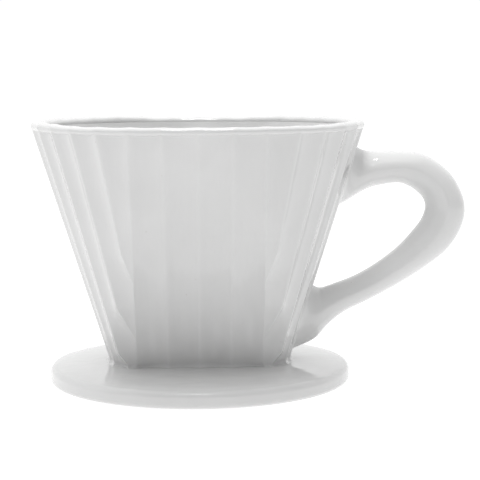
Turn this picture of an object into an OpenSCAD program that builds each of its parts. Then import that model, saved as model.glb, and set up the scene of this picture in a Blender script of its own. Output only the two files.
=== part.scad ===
// Fluted porcelain pour over dripper, millimetres, +Z up.
// The origin is on the bowl's axis, at the bottom of the locating ring that it stands on.
// The handle is on +X, and the two flat faces of the wedge look along -Y and +Y.

/* [Rim] */
// Outer radius of the rim
rim_r = 60; // [56:1:64]
// Height of the widest line of the rim
rim_z = 95.9; // [94:0.1:97]
// Radius of the rounded lip in cross section
lip_r = 2.2; // [1.8:0.1:2.3]

/* [Bowl] */
// Wall thickness, measured level
wall = 4.8; // [4:0.1:6]
// How far the round ends lean in for each millimetre of height
end_lean = 0.319; // [0.3:0.001:0.34]
// Half the depth of the wedge where it meets the saucer
foot_half = 16.3; // [14:0.1:20]
// Depth of a flute at the rim, below the line between its two edges
flute_depth = 1.05; // [0.5:0.05:1.3]
// How far the lip hangs over the edges of the flutes
overhang = 0.1; // [0.1:0.1:0.8]

/* [Ribs] */
// Height of a filter rib above the wall, and half its width
rib_r = 1.2; // [0.8:0.1:1.6]
// Height at which the filter ribs fade out
rib_top = 74; // [50:1:80]

/* [Drain] */
// Height of the floor inside the bowl
floor_z = 12.5; // [12:0.5:16]
// Thickness of the floor
floor_t = 5.5; // [4:0.5:7]
// Radius of each drain hole
drain_r = 3.2; // [3.1:0.1:4]
// Distance between drain holes
drain_pitch = 15; // [12:1:15]

/* [Saucer] */
// Outer radius of the saucer
saucer_r = 54.5; // [50:0.5:58]
// Height of the saucer's upper edge above its underside
saucer_edge = 6.1; // [5:0.1:6.5]
// Height of the saucer's flat middle above its underside
saucer_t = 7; // [6.8:0.1:8]

/* [Locating ring] */
// Outer radius of the ring, which drops into the mouth of a mug
ring_r = 32; // [30:0.5:34]
// Wall of the ring
ring_wall = 4; // [3:0.5:5]
// Height of the ring
ring_h = 3.5; // [2:0.5:4]

/* [Hidden] */
$fn = 96;

glaze = "white";
bare = "oldlace";

foot_z = ring_h + saucer_t;
seam_z = rim_z - 0.4 * lip_r;
seam_r = rim_r - overhang;
face_lean = (seam_r - foot_half) / (seam_z - foot_z);
inner_lean = (seam_r - foot_half + 0.4) / (seam_z - foot_z);

seat_depth = 0.6;
seat_margin = 0.5;

flutes = 32;
side_pitch = 11.1;       // degrees between the flute edges on the round ends
columns = 5;             // columns of facets across a flute
inner_edge_x = 11.75;    // edges of the front flutes run straight down, at these distances from the middle
outer_edge_x = 22.9;
edge_drift = 0.0085;     // and draw in this much for each millimetre
least_flute = 1.8;       // degrees left of a flute that is pinched out between its neighbours
full_width = 12.3;       // width at which a flute has its full depth
arch_rise = 0.4;         // height of the arch that closes each flute under the lip
fade = 1;              // height over which a flute runs out

// Half depth of the wedge, and radius of its round ends, at height z
function face_y(z) = seam_r - face_lean * (seam_z - z);
function end_r(z) = seam_r - end_lean * (seam_z - z);

// The smooth outline at height z in the direction a, with 0 towards the viewer's side and 90 to +X
function reach(a, z) = min(face_y(z) / max(abs(cos(a)), 0.001), end_r(z));
function at(a, r) = [r * sin(a), -r * cos(a)];
function edge_angle(x, z) = atan2(x, min(face_y(z), sqrt(end_r(z) * end_r(z) - x * x)));

// Direction of flute edge i in the first quarter, then in the whole circle
function straight_x(i, z) = (i == 1 ? inner_edge_x : outer_edge_x) - edge_drift * (seam_z - z);
function quarter(i, z) = i == 0 ? 0 : i < 3 ? edge_angle(straight_x(i, z), z)
    : max(90 - (flutes / 4 - i) * side_pitch, quarter(i - 1, z) + least_flute);
function edge(i, z) = i <= flutes / 4 ? quarter(i, z)
    : i <= flutes / 2 ? 180 - quarter(flutes / 2 - i, z)
    : 360 - edge(flutes - i, z);

function smooth(x) = let(c = min(max(x, 0), 1)) c * c * (3 - 2 * c);
function mix(a, b, t) = a + (b - a) * t;

// One point of the fluted outline: flute i, share t across it, at height z, grown outwards by g
function fluted(i, t, z, g = 0) =
    let(a = edge(i, z), b = edge(i + 1, z),
        p = at(a, reach(a, z)), q = at(b, reach(b, z)),
        w = norm(q - p), bulge = 4 * t * (1 - t),
        sag = flute_depth * pow(min(w / full_width, 1), 1.7) * bulge,
        out = [q[1] - p[1], p[0] - q[0]] / max(w, 0.001),
        c = mix(a, b, t),
        cut = smooth((seam_z - arch_rise * (1 - bulge) - z) / fade),
        skin = mix(at(c, reach(c, z)), mix(p, q, t) - out * sag * sign(out * (p + q)), cut))
    skin + skin / norm(skin) * g;

// The whole outline at height z
function outline(z, g = 0) = [for (i = [0 : flutes - 1]) for (j = [0 : columns - 1])
    let(p = fluted(i, j / columns, z, g)) [p[0], p[1], z]];

// A closed solid through rings that all have the same number of points
module loft(rings) {
    n = len(rings[0]);
    top = (len(rings) - 1) * n;
    sides = [for (k = [0 : len(rings) - 2]) for (j = [0 : n - 1])
        let(a = k * n + j, b = k * n + (j + 1) % n) each [[a, a + n, b], [b, a + n, b + n]]];
    polyhedron([for (r = rings) each r],
        concat(sides, [[for (j = [0 : n - 1]) j]], [[for (j = [n - 1 : -1 : 0]) top + j]]));
}

// The bowl's outside as a solid, with a stub that goes further down by the given amount
module bowl_outside(stub = 0) {
    levels = [foot_z, 14, 18, 24, 30, 36, 42, 56, 72, 88, 92, 93.5, 94, 94.5, seam_z];
    rings = [for (z = levels) outline(z)];
    foot = [for (p = rings[0]) [p[0], p[1], foot_z - stub]];
    loft(stub > 0 ? concat([foot], rings) : rings);
}

// Makes one mesh of what it holds, at its own size
module as_mesh() {
    resize([0, 0, 0]) children();
}

// A leaning slab between two planes that close in on each other as they go down
module wedge(y_top, lean, z_low, z_high) {
    y_low = y_top - lean * (z_high - z_low);
    rotate([90, 0, 90]) translate([0, 0, -rim_r - 1]) linear_extrude(2 * rim_r + 2)
        polygon([[-y_low, z_low], [y_low, z_low], [y_top, z_high], [-y_top, z_high]]);
}

// The hollow of the bowl between two heights: a cone with its front and back cut off by planes
module hollow(z_low, z_high) {
    intersection() {
        translate([0, 0, z_low])
            cylinder(h = z_high - z_low, r1 = end_r(z_low) - wall, r2 = end_r(z_high) - wall);
        wedge(inner_y(z_high), inner_lean, z_low, z_high);
    }
}
function inner_y(z) = seam_r - wall - inner_lean * (seam_z - z);

module bowl_wall() {
    color(glaze) as_mesh() difference() {
        bowl_outside();
        hollow(foot_z - 1, seam_z + 0.001);
    }
}

// Full round lip, which hangs a little over the flutes outside and runs into the wall inside
module rim_lip() {
    lip_x = rim_r - lip_r;
    under = asin((seam_z - rim_z) / lip_r);
    arc = [for (k = [0 : 14]) let(a = mix(under, 180, k / 14))
        [lip_x + lip_r * cos(a), rim_z + lip_r * sin(a)]];
    color(glaze) rotate_extrude()
        polygon(concat([[seam_r - wall, seam_z], [seam_r, seam_z]], arc));
}

// A rib on a wall that is half_low from the middle at the floor and half_top where the rib fades out
module rib(half_low, half_top) {
    rotate([90, 0, 90]) linear_extrude(2 * rib_r, center = true)
        polygon([[half_low, floor_z], [half_top, rib_top], [half_top - 0.3, rib_top],
            [half_low - rib_r, floor_z + 2], [half_low - rib_r, floor_z]]);
}

// Ribs that hold the paper off the wall: straight ones on the faces and a fan at each end
module filter_ribs() {
    face_step = 5;
    face_side = 4;
    fan = [-20, 0, 20];
    color(glaze) for (side = [0, 180]) rotate([0, 0, side]) {
        for (k = [-face_side : face_side])
            translate([k * face_step, 0, 0]) rib(inner_y(floor_z), inner_y(rib_top));
        for (a = fan)
            rotate([0, 0, a - 90]) rib(end_r(floor_z) - wall, end_r(rib_top) - wall);
    }
}

// The round-ended opening in the saucer that the floor closes
module slot(z_low, z_high) {
    half_l = 15.5;
    half_w = 9.5;
    translate([0, 0, z_low]) {
        translate([-half_l, -half_w, 0]) cube([2 * half_l, 2 * half_w, z_high - z_low]);
        for (x = [-half_l, half_l]) translate([x, 0, 0]) cylinder(h = z_high - z_low, r = half_w);
    }
}

module drain_floor() {
    color(glaze) difference() {
        union() {
            hollow(foot_z, floor_z);
            slot(floor_z - floor_t, foot_z);
        }
        for (k = [-1 : 1])
            translate([k * drain_pitch, 0, 0]) cylinder(h = floor_z + 1, r = drain_r);
    }
}

// Round saucer with soft edges, which slopes up a little to its flat middle
module saucer() {
    low_r = 1.8;
    high_r = 1.2;
    flat_r = 34.5;
    edge_z = ring_h + saucer_edge;
    low = [for (a = [-90 : 15 : 0])
        [saucer_r - low_r + low_r * cos(a), ring_h + low_r + low_r * sin(a)]];
    high = [for (a = [0 : 15 : 75])
        [saucer_r - high_r + high_r * cos(a), edge_z - high_r + high_r * sin(a)]];
    color(glaze) difference() {
        rotate_extrude()
            polygon(concat([[0, ring_h]], low, high, [[flat_r, foot_z], [0, foot_z]]));
        slot(ring_h - 1, foot_z + 1);
        ring_seat();
    }
}

// The bead of slip and glaze in the corner between the bowl and the saucer
module foot_bead() {
    steps = [[0, 1.6], [0.25, 1.0], [0.65, 0.5], [1.1, 0.25], [1.7, 0.08]];
    color(glaze) as_mesh() difference() {
        loft([for (s = steps) outline(foot_z + s[0], s[1])]);
        bowl_outside(1);
    }
}

// The shallow seat in the saucer's underside that the ring is stuck into
module ring_seat() {
    translate([0, 0, ring_h]) cylinder(h = seat_depth, r = ring_r + seat_margin);
}

// Unglazed ring that the dripper stands on, and that keeps it centred in a mug
module locating_ring() {
    color(bare) difference() {
        union() {
            cylinder(h = ring_h, r = ring_r);
            ring_seat();
        }
        translate([0, 0, -1]) cylinder(h = ring_h + 2, r = ring_r - ring_wall);
    }
}

// Handle: points of its outer and inner edges in the XZ plane, and its half width there
handle_knots = [
    [[52, 91], [44, 63], 10],
    [[57, 87.5], [49, 66.4], 9.2],
    [[61, 86.3], [53.5, 68.2], 8.3],
    [[66.5, 86.1], [62, 72.9], 7.5],
    [[73, 86.1], [71.5, 74.6], 7.1],
    [[80.6, 85.2], [76.2, 73.5], 7],
    [[87.5, 81.4], [79.8, 71], 7],
    [[93.3, 75.3], [81.8, 68.5], 7.1],
    [[96.8, 66.5], [82.4, 65.7], 7.2],
    [[95.7, 58.6], [81.5, 62.3], 7.2],
    [[90.8, 50.5], [79.2, 58.7], 7.1],
    [[82.4, 43.7], [72.8, 51.6], 7],
    [[72.4, 37.5], [64.8, 45.4], 6.9],
    [[62.1, 32], [57, 40.9], 6.9],
    [[53, 27.6], [49.5, 38], 7.1],
    [[47, 22.9], [44.4, 36.4], 7.8],
    [[42.5, 18], [41.4, 36.9], 8.6],
    [[37, 15.2], [37.8, 38.6], 9.3],
    [[30, 13.5], [34, 41], 10],
];
upper_end = 3;           // knots where the handle's own casting starts and stops
lower_end = 14;
handle_steps = 3;        // rings between knots
handle_sides = 16;

// A smooth curve through four knots, from the second at t = 0 to the third at t = 1
function curve(a, b, c, d, t) =
    b + t / 2 * ((c - a) + t * ((2 * a - 5 * b + 4 * c - d) + t * (3 * b - a - 3 * c + d)));
function knot(k, m) = handle_knots[min(max(k, 0), len(handle_knots) - 1)][m];
function handle_at(m, u) = let(k = min(floor(u), len(handle_knots) - 2))
    curve(knot(k - 1, m), knot(k, m), knot(k + 1, m), knot(k + 2, m), u - k);

// The oval section of the handle at knot position u
function handle_ring(u) =
    let(o = handle_at(0, u), i = handle_at(1, u), w = handle_at(2, u), c = (o + i) / 2)
    [for (j = [0 : handle_sides - 1]) let(a = 360 * j / handle_sides, p = c + (o - c) * cos(a))
        [p[0], w * sin(a), p[1]]];

module handle_part(from, to) {
    n = (to - from) * handle_steps;
    color(glaze) as_mesh() difference() {
        loft([for (k = [0 : n]) handle_ring(from + k / handle_steps)]);
        bowl_outside();
    }
}

module handle() {
    handle_part(upper_end, lower_end);
}

// The flared ends, where the handle is stuck to the bowl with slip
module handle_upper_joint() {
    handle_part(0, upper_end);
}

module handle_lower_joint() {
    handle_part(lower_end, len(handle_knots) - 1);
}

bowl_wall();
rim_lip();
filter_ribs();
drain_floor();
saucer();
foot_bead();
locating_ring();
handle();
handle_upper_joint();
handle_lower_joint();
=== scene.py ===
import math

import bmesh
import bpy
import numpy as np
from mathutils import Matrix, Vector


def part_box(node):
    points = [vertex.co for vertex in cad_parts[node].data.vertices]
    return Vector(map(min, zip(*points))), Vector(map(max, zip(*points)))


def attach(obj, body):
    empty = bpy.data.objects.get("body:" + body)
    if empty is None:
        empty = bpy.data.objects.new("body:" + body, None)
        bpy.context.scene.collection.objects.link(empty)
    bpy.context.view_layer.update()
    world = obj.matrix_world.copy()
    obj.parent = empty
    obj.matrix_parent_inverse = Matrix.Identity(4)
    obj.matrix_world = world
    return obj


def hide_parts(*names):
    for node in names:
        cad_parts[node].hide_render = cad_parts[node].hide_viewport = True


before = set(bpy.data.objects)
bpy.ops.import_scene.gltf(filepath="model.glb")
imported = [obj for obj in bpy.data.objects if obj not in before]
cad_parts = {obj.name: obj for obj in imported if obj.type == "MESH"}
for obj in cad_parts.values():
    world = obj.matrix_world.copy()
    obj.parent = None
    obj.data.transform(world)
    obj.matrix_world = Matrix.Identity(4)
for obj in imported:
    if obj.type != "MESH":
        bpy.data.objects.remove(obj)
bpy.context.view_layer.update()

MM = 0.001

# ---------------------------------------------------------------- sizes

_, lip_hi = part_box("rim_lip")
wall_lo, wall_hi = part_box("bowl_wall")
floor_lo, floor_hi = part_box("drain_floor")
saucer_lo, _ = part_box("saucer")
ring_lo, ring_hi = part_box("locating_ring")
rib_lo, rib_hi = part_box("filter_ribs")

FOOT_Z = wall_lo.z
SEAM_Z = wall_hi.z
CREST_Z = lip_hi.z
RIM_R = 60 * MM
OVERHANG = 0.1 * MM                # how far the lip stands out past the top of the wall
SEAM_R = RIM_R - OVERHANG
FLOOR_Z = floor_hi.z
SAUCER_Z = saucer_lo.z
SAUCER_R = 54.5 * MM
RING_R = 32 * MM
RING_WALL = 4 * MM

LIP_HALF_W, LIP_HALF_H = 2.4 * MM, 1.45 * MM
LIP_TOP = 97.1 * MM                # height of the lip at the front, its lowest place
WALL = 4.8 * MM
FOOT_EXTRA = 0.4 * MM              # how much thicker the flat faces are at the foot
END_LEAN = 0.319                   # how far the round ends come in for each unit of height
FOOT_HALF = 16.3 * MM              # half the distance between the flat faces at the foot
FACE_LEAN = (SEAM_R - FOOT_HALF) / (SEAM_Z - FOOT_Z)
INNER_LEAN = (SEAM_R - FOOT_HALF + FOOT_EXTRA) / (SEAM_Z - FOOT_Z)
OUTSIDE_RINGS, INSIDE_RINGS = 85, 40
FLUTE_BLUR, CORNER_BLUR = 2, 12    # smoothing passes over the flutes and over the inside's corners

SLOT_HALF_L = 15.5 * MM
SLOT_HALF_W = 9.5 * MM
DRAIN_R = 3.2 * MM
DRAIN_PITCH = 15 * MM
RIB_STEP = 5 * MM
RIB_HEIGHT = 1.15 * MM
RIB_HALF_WIDTH = 1.15 * MM
RIB_FADE = 0.72                    # share of a rib's height at which it begins to fade out
END_RIB_TURNS = (-20, 0, 20)       # degrees from the X axis
JOINT_FILLET = 5 * MM
FILLET_RISE = 0.25                 # share of the fillet that spreads up and down, besides the flare
JOINT_SINK = 2.2 * MM              # how deep the handle's ends go under the bowl's smooth outline
LIP_SCALLOP = 0.35 * MM            # how far the lip's outside goes in over a flute
LIP_DIP = 0.2 * MM                 # how far its top goes down there

FLUTES = 32
SIDE_PITCH = 11.1                  # degrees between the flute edges on the round ends
COLUMNS = 18                       # mesh columns across a flute
FLUTE_DEPTH = 1.65 * MM
FULL_WIDTH = 12.3 * MM             # a flute this wide or wider has the full depth
NARROWING = 1.6                    # power of the width with which a narrower flute gets shallower
INNER_EDGE_X = 11.75 * MM          # where the flutes of the flat faces meet, at the rim
OUTER_EDGE_X = 22.9 * MM
EDGE_DRIFT = 0.0085                # how fast these edges move in towards the foot
LEAST_FLUTE = 0.35                 # degrees left of a flute that is pinched out


# ---------------------------------------------------------------- mesh helpers

def smooth(x):
    c = np.clip(x, 0, 1)
    return c * c * (3 - 2 * c)


def add_object(name, points, faces, sharp=None):
    """A smooth-shaded object. Edges that turn by more than sharp degrees stay crisp."""
    mesh = bpy.data.meshes.new(name)
    mesh.from_pydata([tuple(p) for p in points], [], [tuple(f) for f in faces])
    mesh.validate()
    build = bmesh.new()
    build.from_mesh(mesh)
    bmesh.ops.recalc_face_normals(build, faces=build.faces)
    build.to_mesh(mesh)
    build.free()
    for poly in mesh.polygons:
        poly.use_smooth = True
    if sharp is not None:
        mesh.set_sharp_from_angle(angle=math.radians(sharp))
    obj = bpy.data.objects.new(name, mesh)
    bpy.context.scene.collection.objects.link(obj)
    return obj


def apply_modifiers(obj):
    """Replaces the mesh with what its modifiers make of it."""
    shape = obj.evaluated_get(bpy.context.evaluated_depsgraph_get())
    mesh = bpy.data.meshes.new_from_object(shape)
    obj.modifiers.clear()
    obj.data = mesh


def loft(name, rings, closed=False, sharp=None):
    """A solid through rings of equal length. Closed joins the last ring to the first; otherwise both
    ends get a cap."""
    rings = np.asarray(rings)
    count, n = rings.shape[:2]
    faces = []
    spans = count if closed else count - 1
    for k in range(spans):
        a, b = k * n, ((k + 1) % count) * n
        for j in range(n):
            i = (j + 1) % n
            faces.append((a + j, a + i, b + i, b + j))
    points = list(rings.reshape(-1, 3))
    if not closed:
        for k, turn in ((0, -1), (count - 1, 1)):
            centre = len(points)
            points.append(rings[k].mean(axis=0))
            for j in range(n):
                pair = (k * n + j, k * n + (j + 1) % n)
                faces.append((centre, *pair[::turn]))
    return add_object(name, points, faces, sharp)


def revolve(name, profile, sides, sharp=None):
    """A ring-shaped solid from a closed profile of (radius, height) points, counter-clockwise."""
    a = np.linspace(0, 2 * math.pi, sides, endpoint=False)
    rings = [np.stack([r * np.cos(a), r * np.sin(a), np.full(sides, z)], -1) for r, z in profile]
    return loft(name, rings, closed=True, sharp=sharp)


def arc(cx, cz, r, start, end, steps):
    """Points on an arc in a profile, in degrees from +X, with both ends."""
    a = np.radians(np.linspace(start, end, steps + 1))
    return [(cx + r * c, cz + r * s) for c, s in zip(np.cos(a), np.sin(a))]


# ---------------------------------------------------------------- the bowl's surface

def face_y(z):
    return SEAM_R - FACE_LEAN * (SEAM_Z - z)


def end_r(z):
    return SEAM_R - END_LEAN * (SEAM_Z - z)


def reach(a, z):
    """Distance from the axis to the smooth outline in direction a, in radians from -Y towards +X."""
    return np.minimum(face_y(z) / np.maximum(np.abs(np.cos(a)), 1e-3), end_r(z))


def at(a, r):
    """The points at distance r from the axis in the directions a."""
    return np.stack([r * np.sin(a), -r * np.cos(a)], -1)


def level(outline, z):
    """The points of a flat outline, at height z."""
    return np.column_stack([outline, np.full(len(outline), z)])


def flute_edges(z):
    """Directions of the flute edges at height z, all round, in radians."""
    quarter = [0.0]
    for x_top in (INNER_EDGE_X, OUTER_EDGE_X):
        x = x_top - EDGE_DRIFT * (SEAM_Z - z)
        y = min(face_y(z), math.sqrt(end_r(z) ** 2 - x * x))
        quarter.append(math.degrees(math.atan2(x, y)))
    for i in range(3, FLUTES // 4 + 1):
        quarter.append(max(90 - (FLUTES // 4 - i) * SIDE_PITCH, quarter[-1] + LEAST_FLUTE))
    half = quarter + [180 - q for q in quarter[-2::-1]]
    full = half + [360 - h for h in half[-2:0:-1]]
    return np.radians(np.array(full))


def flute_spans(z):
    """The directions in which each flute starts and ends at height z."""
    start = flute_edges(z)
    end = np.roll(start, -1)
    end[-1] += 2 * math.pi
    return start, end


def blur(ring, passes):
    """Rounds the corners of a closed outline."""
    for _ in range(passes):
        ring = (np.roll(ring, 1, axis=0) + 2 * ring + np.roll(ring, -1, axis=0)) / 4
    return ring


def fluted_ring(z, grow=0.0):
    """The fluted outline at height z, as points that run counter-clockwise seen from above."""
    start, end = flute_spans(z)
    p = at(start, reach(start, z))
    q = at(end, reach(end, z))
    width = np.linalg.norm(q - p, axis=1)
    along = (q - p) / width[:, None]
    out = np.stack([along[:, 1], -along[:, 0]], -1)
    t = np.arange(COLUMNS) / COLUMNS
    bulge = 4 * t * (1 - t)
    sag = FLUTE_DEPTH * np.minimum(width / FULL_WIDTH, 1)[:, None] ** NARROWING * bulge
    chord = p[:, None] + (q - p)[:, None] * t[None, :, None]
    scooped = chord - out[:, None] * sag[..., None]
    skin = blur(scooped.reshape(-1, 2), FLUTE_BLUR)
    distance = np.linalg.norm(skin, axis=1)[:, None]
    return level(skin + skin / distance * grow, z)


def fluted_ring_at(z, grow):
    """The fluted outline at height z, grown outwards. Below the foot it is the foot's outline."""
    ring = fluted_ring(max(z, FOOT_Z), grow)
    ring[:, 2] = z
    return ring


def ring_directions(z):
    """The directions of the columns of a fluted ring at height z."""
    start, end = flute_spans(max(z, FOOT_Z))
    t = np.arange(COLUMNS) / COLUMNS
    return (start[:, None] + (end - start)[:, None] * t).ravel()


def inner_y(z):
    return SEAM_R - WALL - INNER_LEAN * (SEAM_Z - z)


def inner_r(z):
    return SEAM_R - WALL - END_LEAN * (SEAM_Z - z)


def inner_ring(z, shrink=0.0):
    """The smooth wedge outline inside the bowl, in step with the flutes."""
    a = ring_directions(z)
    flat = (inner_y(z) - shrink) / np.maximum(np.abs(np.cos(a)), 1e-3)
    outline = at(a, np.minimum(flat, inner_r(z) - shrink))
    return level(blur(outline, CORNER_BLUR), z)


def slot_ring(directions, z, grow=0.0):
    """The round-ended slot in the saucer, as points in the given directions."""
    half_l, half_w = SLOT_HALF_L, SLOT_HALF_W + grow
    d = at(directions, np.ones_like(directions))
    along = np.abs(d[:, 0]) * half_l
    end = along + np.sqrt(np.maximum(half_w ** 2 - half_l ** 2 + along ** 2, 0))
    side = half_w / np.maximum(np.abs(d[:, 1]), 1e-6)
    r = np.where(np.abs(d[:, 0]) * side <= half_l, side, end)
    return level(d * r[:, None], z)


# ---------------------------------------------------------------- pieces

def make_bowl():
    """The fluted wall, which ends inside the lip."""
    into_lip = 0.5 * MM
    top = SEAM_Z + into_lip
    outside = [fluted_ring(z) for z in np.linspace(FOOT_Z, top, OUTSIDE_RINGS)]
    inside = [inner_ring(z) for z in np.linspace(top, FOOT_Z, INSIDE_RINGS)]
    return loft("porcelain_bowl_wall", outside + inside, closed=True, sharp=50)


def lip_rise(directions):
    """How much higher the hand-finished lip is than at the front: most at both ends and a little at
    the back. Towards the back each end's rise begins nearer the middle."""
    x, y = at(directions, 1.0).T
    back = smooth((y + 0.2) / 0.5)
    start = 0.66 - 0.4 * back
    length = 0.3
    most = np.where(x < 0, 0.85, 0.65)
    at_ends = most * smooth((np.abs(x) - start) / length)
    at_back = 0.25 * back
    return np.minimum(at_ends + at_back, 1) * (CREST_Z - LIP_TOP)


def make_lip():
    """A rounded bead that gives way a little over each flute."""
    centre_r = RIM_R - LIP_HALF_W
    centre_z = LIP_TOP - LIP_HALF_H
    directions = ring_directions(SEAM_Z)
    t = np.tile(np.arange(COLUMNS) / COLUMNS, FLUTES)
    dip = 4 * t * (1 - t)
    rise = lip_rise(directions)
    rings = []
    for a in np.linspace(0, 2 * math.pi, 48, endpoint=False):
        outer = max(math.cos(a), 0)
        top = (1 + math.sin(a)) / 2
        radius = centre_r + LIP_HALF_W * math.cos(a) - LIP_SCALLOP * outer * dip
        z = centre_z + LIP_HALF_H * math.sin(a) + (rise - LIP_DIP * dip) * top
        rings.append(np.column_stack([at(directions, radius), z]))
    return loft("porcelain_lip", rings, closed=True)


def make_saucer():
    """A disc with rounded edges that rises a little towards the bowl, with a slot for the floor."""
    low_r, high_r = 1.8 * MM, 2.4 * MM
    soft = 0.8 * MM
    edge_z = SAUCER_Z + 6.1 * MM
    flat_r = 34.5 * MM
    underside_r = 31 * MM
    directions = np.linspace(0, 2 * math.pi, 360, endpoint=False)

    def top_z(r):
        k = (r - flat_r) / (SAUCER_R - flat_r)
        return FOOT_Z - (FOOT_Z - edge_z) * k ** 1.3

    outline = [(underside_r, SAUCER_Z)]
    outline += arc(SAUCER_R - low_r, SAUCER_Z + low_r, low_r, -90, 0, 10)
    outline += arc(SAUCER_R - high_r, edge_z - high_r, high_r, 0, 76, 8)
    outline += [(r, top_z(r)) for r in np.linspace(SAUCER_R - high_r, flat_r, 5)[1:]]
    rings = [level(at(directions, r), z) for r, z in outline]
    rings.append(slot_ring(directions, FOOT_Z - 0.2 * MM))
    for a in np.radians(np.linspace(0, 90, 6)):
        rings.append(slot_ring(directions, SAUCER_Z + soft * (1 - math.sin(a)),
                               soft * (1 - math.cos(a))))
    return loft("porcelain_saucer", rings, closed=True, sharp=40)


def make_ring():
    """The unglazed ring that sits in the mug's mouth, with soft lower corners."""
    soft = 0.7 * MM
    inner = RING_R - RING_WALL
    top = ring_hi.z
    profile = [(inner, top)] + arc(inner + soft, ring_lo.z + soft, soft, 180, 270, 6)
    profile += arc(RING_R - soft, ring_lo.z + soft, soft, -90, 0, 6) + [(RING_R, top)]
    return revolve("bare_clay_ring", profile, 256, sharp=40)


def make_foot_bead():
    """A concave bead that runs out level onto the saucer and upright onto the wall."""
    r = 1.8 * MM
    sunk = 0.4 * MM
    low = FOOT_Z - 0.15 * MM
    steps = [(r - r * math.sin(a), r - r * math.cos(a)) for a in np.radians(np.linspace(0, 90, 9))]
    rings = [fluted_ring_at(low, r)]
    rings += [fluted_ring_at(FOOT_Z + h, g) for g, h in steps]
    rings += [fluted_ring_at(FOOT_Z + r, -sunk), fluted_ring_at(low, -sunk)]
    return loft("foot_bead_glaze", rings, closed=True, sharp=50)


def make_floor():
    """The floor in its slot, coved up to the wall, with three drain holes that have soft mouths."""
    cove = 2 * MM
    cove_reach = 0.999 * cove      # how far the cove runs in over the floor
    sunk = 0.5 * MM
    soft = 0.8 * MM
    crisp = 50
    directions = ring_directions(FOOT_Z)
    low = floor_lo.z
    rings = [slot_ring(directions, low, -soft)]
    rings += [slot_ring(directions, low + soft * (1 - math.cos(a)), -soft * (1 - math.sin(a)))
              for a in np.radians((30, 60, 90))]
    rings += [slot_ring(directions, FOOT_Z - 0.1 * MM), inner_ring(FOOT_Z, -sunk)]
    rings += [inner_ring(FLOOR_Z + cove, -sunk)]
    for a in np.radians(np.linspace(0, 90, 9)):
        ring = inner_ring(FLOOR_Z, cove_reach * (1 - math.cos(a)))
        ring[:, 2] = FLOOR_Z + cove * (1 - math.sin(a))
        rings.append(ring)
    piece = loft("drain_floor_glaze", rings, sharp=crisp)
    flare = 0.9 * MM
    outer = DRAIN_R + flare
    past = 1 * MM
    drill_r, core_r = outer + 0.2 * MM, 0.0001 * MM
    quarter = np.radians(np.linspace(0, 90, 7))
    drill = [(core_r, low - past), (drill_r, low - past)]
    drill += [(outer - flare * math.sin(a), low + flare * (1 - math.cos(a))) for a in quarter]
    drill += [(outer - flare * math.cos(a), FLOOR_Z - flare * (1 - math.sin(a))) for a in quarter]
    drill += [(drill_r, FLOOR_Z + past), (core_r, FLOOR_Z + past)]
    for k in (-1, 0, 1):
        cutter = revolve("drill", drill, 48)
        cutter.location.x = k * DRAIN_PITCH
        cut = piece.modifiers.new("hole", "BOOLEAN")
        cut.object = cutter
        cut.operation = "DIFFERENCE"
        cut.solver = "EXACT"
        apply_modifiers(piece)
        bpy.data.objects.remove(cutter)
    piece.data.set_sharp_from_angle(angle=math.radians(crisp))
    return piece


def make_ribs():
    """Half-round ribs on the bowl's inside that fade out towards the top."""
    across = np.radians(np.linspace(-40, 220, 14))
    climb = np.linspace(0, 1, 40)
    low = rib_lo.z - 0.5 * MM
    end_height, end_width = 0.15, 0.35
    points, faces = [], []

    def add_rib(place):
        rings = []
        for k in climb:
            z = low + k * (rib_hi.z - low)
            full = 1 - smooth((k - RIB_FADE) / (1 - RIB_FADE))
            height = RIB_HEIGHT * (end_height + (1 - end_height) * full)
            width = RIB_HALF_WIDTH * (end_width + (1 - end_width) * full)
            rings.append([place(z, width * c, height * s) for c, s in
                          zip(np.cos(across), np.sin(across))])
        first, n = len(points), len(across)
        points.extend(p for r in rings for p in r)
        for i in range(len(rings) - 1):
            for j in range(n):
                a, b = first + i * n + j, first + i * n + (j + 1) % n
                faces.append((a, b, b + n, a + n))
        faces.append(tuple(range(first, first + n)))
        faces.append(tuple(range(first + (len(rings) - 1) * n, first + len(rings) * n)))

    def on_face(side, x):
        return lambda z, u, h: (x + u, side * (inner_y(z) - h), z)

    def on_end(side, a):
        def place(z, u, h):
            r = inner_r(z) - h
            x = r * math.cos(a) - u * math.sin(a)
            return side * x, r * math.sin(a) + u * math.cos(a), z
        return place

    for side in (-1, 1):
        for k in range(-4, 5):
            add_rib(on_face(side, k * RIB_STEP))
        for a in np.radians(END_RIB_TURNS):
            add_rib(on_end(side, a))
    return add_object("filter_ribs_glaze", points, faces, sharp=60)


# The handle's outer and inner edges in the XZ plane and its half width, in millimetres
HANDLE_KNOTS = [
    ((52, 91), (44, 63), 10),
    ((57, 87.5), (49, 66.4), 9.2),
    ((61, 86.3), (53.5, 68.2), 8.3),
    ((66.5, 86.1), (62, 72.9), 7.5),
    ((73, 86.1), (71.5, 74.6), 7.1),
    ((80.6, 85.2), (76.2, 73.5), 7),
    ((87.5, 81.4), (79.8, 71), 7),
    ((93.3, 75.3), (81.8, 68.5), 7.1),
    ((96.8, 66.5), (82.4, 65.7), 7.2),
    ((95.7, 58.6), (81.5, 62.3), 7.2),
    ((90.8, 50.5), (79.2, 58.7), 7.1),
    ((82.4, 43.7), (72.8, 51.6), 7),
    ((72.4, 37.5), (64.8, 45.4), 6.9),
    ((62.1, 32), (57, 40.9), 6.9),
    ((53, 27.6), (49.5, 38), 7.1),
    ((47, 22.9), (44.4, 36.4), 7.8),
    ((42.5, 18), (41.4, 36.9), 8.6),
    ((37, 15.2), (37.8, 38.6), 9.3),
    ((30, 13.5), (34, 41), 10),
]
UPPER_END, LOWER_END = 3, 14       # the knots where the two joints meet the loop
LAST_KNOT = len(HANDLE_KNOTS) - 1
RIDGE = 1.22                       # 1 is an ellipse, and more gives a ridge along each side
HANDLE_SIDES = 64
RINGS_PER_KNOT = 14


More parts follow.
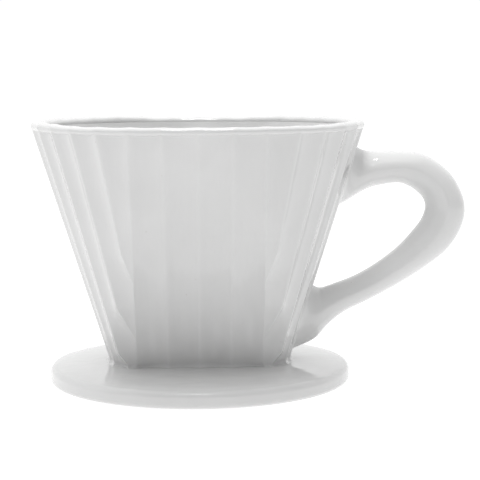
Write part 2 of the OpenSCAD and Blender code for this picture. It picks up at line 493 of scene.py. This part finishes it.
def handle_at(u):
    """The handle's outer edge, inner edge and half width at knot position u, in metres, on a smooth
    curve through the knots."""
    rows = np.array([(*o, *i, w) for o, i, w in HANDLE_KNOTS]) * MM
    k = min(int(u), len(rows) - 2)
    t = u - k
    a, b, c, d = (rows[min(max(k + n, 0), len(rows) - 1)] for n in (-1, 0, 1, 2))
    row = b + t / 2 * ((c - a) + t * ((2 * a - 5 * b + 4 * c - d) + t * (3 * b - a - 3 * c + d)))
    return row[:2], row[2:4], row[4]


def handle_ring(u):
    """A rounded section with a soft ridge along each side."""
    outer, inner, half_width = handle_at(u)
    a = np.linspace(0, 2 * math.pi, HANDLE_SIDES, endpoint=False)
    c, s = np.cos(a), np.sin(a)
    thick = np.sign(c) * np.abs(c) ** RIDGE
    wide = np.sign(s) * np.abs(s) ** RIDGE
    middle = (outer + inner) / 2
    x, z = (middle + (outer - inner) / 2 * thick[:, None]).T
    return np.column_stack([x, half_width * wide, z])


def settle_on_wall(points, centre):
    """Rounds the handle out into the bowl with a fillet, and stops it just under the bowl's skin.
    The skin between two flute edges lies a little inside the smooth outline."""
    skin_depth = 0.8 * FLUTE_DEPTH
    p = points.copy()
    a = np.arctan2(p[:, 0], -p[:, 1])
    gap = np.hypot(p[:, 0], p[:, 1]) - reach(a, p[:, 2]) + skin_depth
    gap *= math.cos(math.atan(END_LEAN))    # square to the leaning wall
    k = np.clip(1 - gap / JOINT_FILLET, 0, 1)
    spread = JOINT_FILLET * (1 - np.sqrt(1 - k ** 2))
    away = p - centre
    away[:, 0] = 0
    length = np.maximum(np.linalg.norm(away, axis=1), 1e-6)
    away[:, 2] *= FILLET_RISE
    p += away / length[:, None] * spread[:, None]
    a = np.arctan2(p[:, 0], -p[:, 1])
    r = np.hypot(p[:, 0], p[:, 1])
    least = reach(a, p[:, 2]) - JOINT_SINK
    push = np.maximum(least / r, 1)
    p[:, 0] *= push
    p[:, 1] *= push
    return p


def make_handle_part(name, start, end):
    """The stretch of the handle between two knot positions."""
    rings = []
    for u in np.linspace(start, end, int((end - start) * RINGS_PER_KNOT) + 1):
        outer, inner, _ = handle_at(u)
        x, z = (outer + inner) / 2
        rings.append(settle_on_wall(handle_ring(u), np.array([x, 0, z])))
    return loft(name, rings, sharp=60)


# ---------------------------------------------------------------- materials

def new_material(name):
    mat = bpy.data.materials.new(name)
    mat.use_nodes = True
    nodes = mat.node_tree.nodes
    return mat, nodes, mat.node_tree.links, nodes["Principled BSDF"]


def noise(nodes, links, coord, size, detail, distortion=0.0):
    """Noise whose blotches are about size across, in metres."""
    node = nodes.new("ShaderNodeTexNoise")
    node.inputs["Scale"].default_value = 1 / size
    node.inputs["Detail"].default_value = detail
    node.inputs["Distortion"].default_value = distortion
    links.new(coord, node.inputs["Vector"])
    return node.outputs["Fac"]


def value_map(nodes, links, value, low, high, to_low, to_high):
    """Maps low..high to to_low..to_high and clamps it."""
    node = nodes.new("ShaderNodeMapRange")
    node.inputs["From Min"].default_value = low
    node.inputs["From Max"].default_value = high
    node.inputs["To Min"].default_value = to_low
    node.inputs["To Max"].default_value = to_high
    links.new(value, node.inputs["Value"])
    return node.outputs[0]


def color_map(nodes, links, value, stops):
    """Maps a value to colours between (place, colour) stops."""
    node = nodes.new("ShaderNodeValToRGB")
    ramp = node.color_ramp
    for k, (place, color) in enumerate(stops):
        element = ramp.elements[k] if k < 2 else ramp.elements.new(place)
        element.position = place
        element.color = (*color, 1)
    links.new(value, node.inputs["Fac"])
    return node.outputs["Color"]


def bump(nodes, links, height, depth, below=None):
    """Relief of the given depth in metres, on top of the normal below."""
    node = nodes.new("ShaderNodeBump")
    node.inputs["Distance"].default_value = depth
    links.new(height, node.inputs["Height"])
    if below is not None:
        links.new(below, node.inputs["Normal"])
    return node.outputs["Normal"]


def make_glaze():
    """White glaze: a thick clear skin with slow waves, fine orange peel and a few pinholes.
    Its colour is made darker in the creases by an ambient occlusion node, which is painted shade."""
    mat, nodes, links, shader = new_material("white_glaze")
    coord = nodes.new("ShaderNodeTexCoord").outputs["Object"]
    waves = noise(nodes, links, coord, 9 * MM, 2, 0.4)
    peel = noise(nodes, links, coord, 1.1 * MM, 2)
    cloud = noise(nodes, links, coord, 24 * MM, 3, 0.6)
    cells = nodes.new("ShaderNodeTexVoronoi")
    cells.inputs["Scale"].default_value = 1 / (7 * MM)
    links.new(coord, cells.inputs["Vector"])
    # 0 in a pinhole and 1 on whole glaze
    whole = value_map(nodes, links, cells.outputs["Distance"], 0.012, 0.03, 0, 1)

    tone = color_map(nodes, links, cloud, [
        (0.3, (0.755, 0.755, 0.753)), (0.7, (0.78, 0.78, 0.779))])
    # painted shade: the glaze colour is multiplied darker where ambient occlusion finds a crease
    crease = nodes.new("ShaderNodeAmbientOcclusion")
    crease.inputs["Distance"].default_value = 2.2 * MM
    painted_crease_shade = nodes.new("ShaderNodeMixRGB")
    painted_crease_shade.blend_type = "MULTIPLY"
    painted_crease_shade.inputs["Color2"].default_value = (0.9, 0.9, 0.903, 1)
    # depth here is how much painted shade goes on: 0 on open glaze, 1 in the tightest creases
    depth = value_map(nodes, links, crease.outputs["AO"], 0.35, 0.85, 1, 0)
    links.new(depth, painted_crease_shade.inputs["Fac"])
    links.new(tone, painted_crease_shade.inputs["Color1"])
    speck = nodes.new("ShaderNodeMixRGB")
    speck.inputs["Color1"].default_value = (0.6, 0.58, 0.55, 1)
    links.new(whole, speck.inputs["Fac"])
    links.new(painted_crease_shade.outputs["Color"], speck.inputs["Color2"])
    links.new(speck.outputs["Color"], shader.inputs["Base Color"])
    links.new(value_map(nodes, links, peel, 0.3, 0.7, 0.03, 0.07), shader.inputs["Roughness"])
    normal = bump(nodes, links, waves, 0.12 * MM)
    normal = bump(nodes, links, peel, 0.006 * MM, normal)
    normal = bump(nodes, links, whole, 0.05 * MM, normal)
    links.new(normal, shader.inputs["Normal"])
    shader.inputs["IOR"].default_value = 1.52
    shader.inputs["Coat Weight"].default_value = 0.25
    shader.inputs["Coat Roughness"].default_value = 0.04
    return mat


def make_clay():
    """Unglazed fired clay, warm and matt, with fine grain and small dark specks."""
    mat, nodes, links, shader = new_material("bare_clay")
    coord = nodes.new("ShaderNodeTexCoord").outputs["Object"]
    cloud = noise(nodes, links, coord, 6 * MM, 3)
    grain = noise(nodes, links, coord, 0.35 * MM, 4)
    specks = noise(nodes, links, coord, 0.8 * MM, 1)
    tone = color_map(nodes, links, cloud, [
        (0.3, (0.60, 0.56, 0.50)), (0.7, (0.70, 0.66, 0.60))])
    dark = nodes.new("ShaderNodeMixRGB")
    dark.blend_type = "MULTIPLY"
    dark.inputs["Color2"].default_value = (0.62, 0.56, 0.50, 1)
    links.new(value_map(nodes, links, specks, 0.68, 0.74, 0, 1), dark.inputs["Fac"])
    links.new(tone, dark.inputs["Color1"])
    links.new(dark.outputs["Color"], shader.inputs["Base Color"])
    links.new(value_map(nodes, links, grain, 0.3, 0.7, 0.75, 0.95), shader.inputs["Roughness"])
    links.new(bump(nodes, links, grain, 0.06 * MM), shader.inputs["Normal"])
    return mat


GLAZE = make_glaze()
CLAY = make_clay()


def finish_piece(piece, *nodes, material=GLAZE, slot="white_glaze"):
    piece.data.materials.append(material)
    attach(piece, "root")
    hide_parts(*nodes)


finish_piece(make_bowl(), "bowl_wall")
finish_piece(make_lip(), "rim_lip")
finish_piece(make_ribs(), "filter_ribs")
finish_piece(make_floor(), "drain_floor")
finish_piece(make_saucer(), "saucer")
finish_piece(make_foot_bead(), "foot_bead")
finish_piece(make_ring(), "locating_ring", material=CLAY, slot="bare_clay")
finish_piece(make_handle_part("porcelain_handle", UPPER_END, LOWER_END), "handle")
finish_piece(make_handle_part("upper_handle_joint", 0, UPPER_END), "handle_upper_joint")
finish_piece(make_handle_part("lower_handle_joint", LOWER_END, LAST_KNOT), "handle_lower_joint")


# ---------------------------------------------------------------- stage, light and camera

def plain_material(name, color, roughness, glow):
    mat, _, _, shader = new_material(name)
    shader.inputs["Base Color"].default_value = (*color, 1)
    shader.inputs["Roughness"].default_value = roughness
    shader.inputs["Emission Color"].default_value = (1, 1, 1, 1)
    shader.inputs["Emission Strength"].default_value = glow
    return mat


FLOOR_HALF = 3.0
floor_mesh = bpy.data.meshes.new("floor")
corners = [(-FLOOR_HALF, -FLOOR_HALF, 0), (FLOOR_HALF, -FLOOR_HALF, 0),
           (FLOOR_HALF, FLOOR_HALF, 0), (-FLOOR_HALF, FLOOR_HALF, 0)]
floor_mesh.from_pydata(corners, [], [(0, 1, 2, 3)])
floor = bpy.data.objects.new("floor", floor_mesh)
bpy.context.scene.collection.objects.link(floor)
floor_mesh.materials.append(
    plain_material("pale_floor", color=(0.2, 0.2, 0.2), roughness=0.7, glow=0.84))


# The studio's brightness in front and behind, low down and high up
FRONT_LOW, FRONT_HIGH = 0.46, 1.5
BACK_LOW, BACK_HIGH = 1.03, 1.35
STUDIO_TURN = -16                  # degrees: the bright side is behind and to the left


def studio_world():
    """A white studio, bright behind and overhead and dim on the camera's side."""
    world = bpy.data.worlds.new("studio")
    world.use_nodes = True
    nodes, links = world.node_tree.nodes, world.node_tree.links
    turned = nodes.new("ShaderNodeVectorRotate")
    turned.rotation_type = "Z_AXIS"
    turned.inputs["Angle"].default_value = math.radians(STUDIO_TURN)
    links.new(nodes.new("ShaderNodeTexCoord").outputs["Generated"], turned.inputs["Vector"])
    split = nodes.new("ShaderNodeSeparateXYZ")
    links.new(turned.outputs[0], split.inputs[0])

    def ramp(axis, start, end, low, high):
        """Goes from low to high along an axis. Each of them is a number or another ramp."""
        node = nodes.new("ShaderNodeMapRange")
        node.interpolation_type = "SMOOTHSTEP"
        links.new(split.outputs[axis], node.inputs["Value"])
        node.inputs["From Min"].default_value = start
        node.inputs["From Max"].default_value = end
        for socket, value in (("To Min", low), ("To Max", high)):
            if isinstance(value, float):
                node.inputs[socket].default_value = value
            else:
                links.new(value.outputs[0], node.inputs[socket])
        return node

    front = ramp("Z", 0.75, 1.0, FRONT_LOW, FRONT_HIGH)
    back = ramp("Z", 0.3, 0.8, BACK_LOW, BACK_HIGH)
    both = ramp("Y", -0.25, 0.4, front, back)
    background = nodes["Background"]
    background.inputs["Color"].default_value = (1, 1, 1, 1)
    links.new(both.outputs[0], background.inputs["Strength"])
    bpy.context.scene.world = world


def softbox(name, place, aim, width, height, power):
    data = bpy.data.lights.new(name, "AREA")
    data.shape = "RECTANGLE"
    data.size = width
    data.size_y = height
    data.energy = power
    light = bpy.data.objects.new(name, data)
    bpy.context.scene.collection.objects.link(light)
    light.location = place
    light.rotation_euler = (Vector(aim) - Vector(place)).to_track_quat("-Z", "Y").to_euler()


studio_world()
softbox("left_key", (-0.9, -0.15, 0.5), (0, 0, 0.05), 0.5, 0.7, 0.3)
softbox("top_fill", (0, 0, 0.85), (0, 0, 0.05), 0.2, 0.2, 1.8)
softbox("front_strip", (-0.05, -0.42, 0.8), (0, -0.05, 0.02), 0.3, 0.05, 0.4)
bpy.context.scene.view_settings.view_transform = "Standard"
bpy.context.scene.view_settings.gamma = 0.88

CAMERA_PLACE = (0.0, -0.540, 0.1139)
CAMERA_PITCH, CAMERA_YAW, CAMERA_ROLL = 6.32, 1.58, -0.32
CAMERA_LENS = 112.0
camera_data = bpy.data.cameras.new("camera")
camera = bpy.data.objects.new("camera", camera_data)
bpy.context.scene.collection.objects.link(camera)
camera.location = CAMERA_PLACE
pitch, yaw, roll = (math.radians(v) for v in (CAMERA_PITCH, CAMERA_YAW, CAMERA_ROLL))
turn = (Matrix.Rotation(-yaw, 4, "Z") @ Matrix.Rotation(math.pi / 2 - pitch, 4, "X")
        @ Matrix.Rotation(roll, 4, "Z"))
camera.rotation_euler = turn.to_euler()
camera_data.sensor_width = 36
camera_data.lens = CAMERA_LENS
bpy.context.scene.camera = camera
